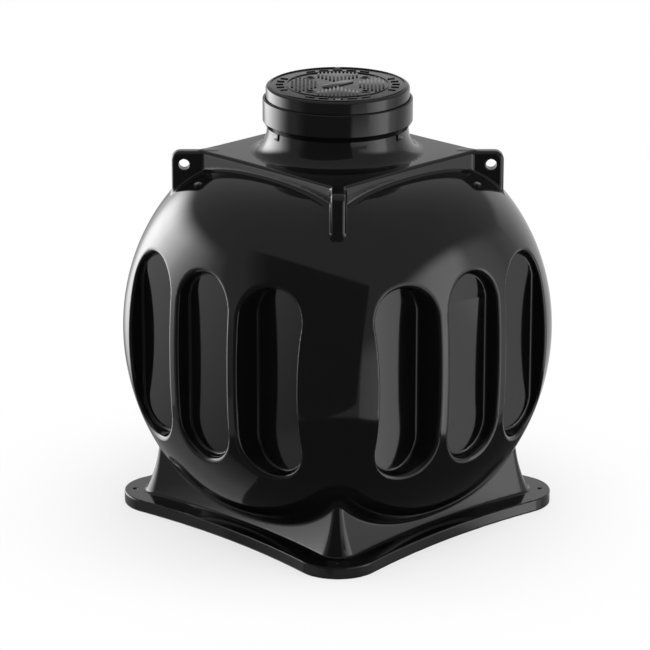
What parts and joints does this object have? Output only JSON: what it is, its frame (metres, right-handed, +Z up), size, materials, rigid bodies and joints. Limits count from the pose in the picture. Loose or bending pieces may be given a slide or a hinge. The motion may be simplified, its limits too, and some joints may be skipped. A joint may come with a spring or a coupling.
{
  "type": "drain inspection chamber",
  "caption": "Ball-shaped black plastic drainage chamber with pocketed sides, square anchoring flange, lifting webs, round neck, collar ring and lift-out tread cover.",
  "frame": {"origin": "centre of the flange's underside, on the ground", "axes": "+Z up through the neck; X and Y square to the pocketed sides, so the corners of the flange and the lifting webs lie on the diagonals"},
  "size_m": [1.5878, 1.5878, 1.846],
  "materials": {
    "tank": "glossy black moulded polyethylene, slightly uneven",
    "collar": "glossy black, smoother than the tank",
    "cover": "satin black with a raised tread",
    "seal": "matt black rubber"
  },
  "bodies": {
    "root": {"tank_shell": "tank", "neck_seal": "seal", "collar_ring": "collar", "cover_seal": "seal", "cover": "cover"}
  },
  "joints": []
}
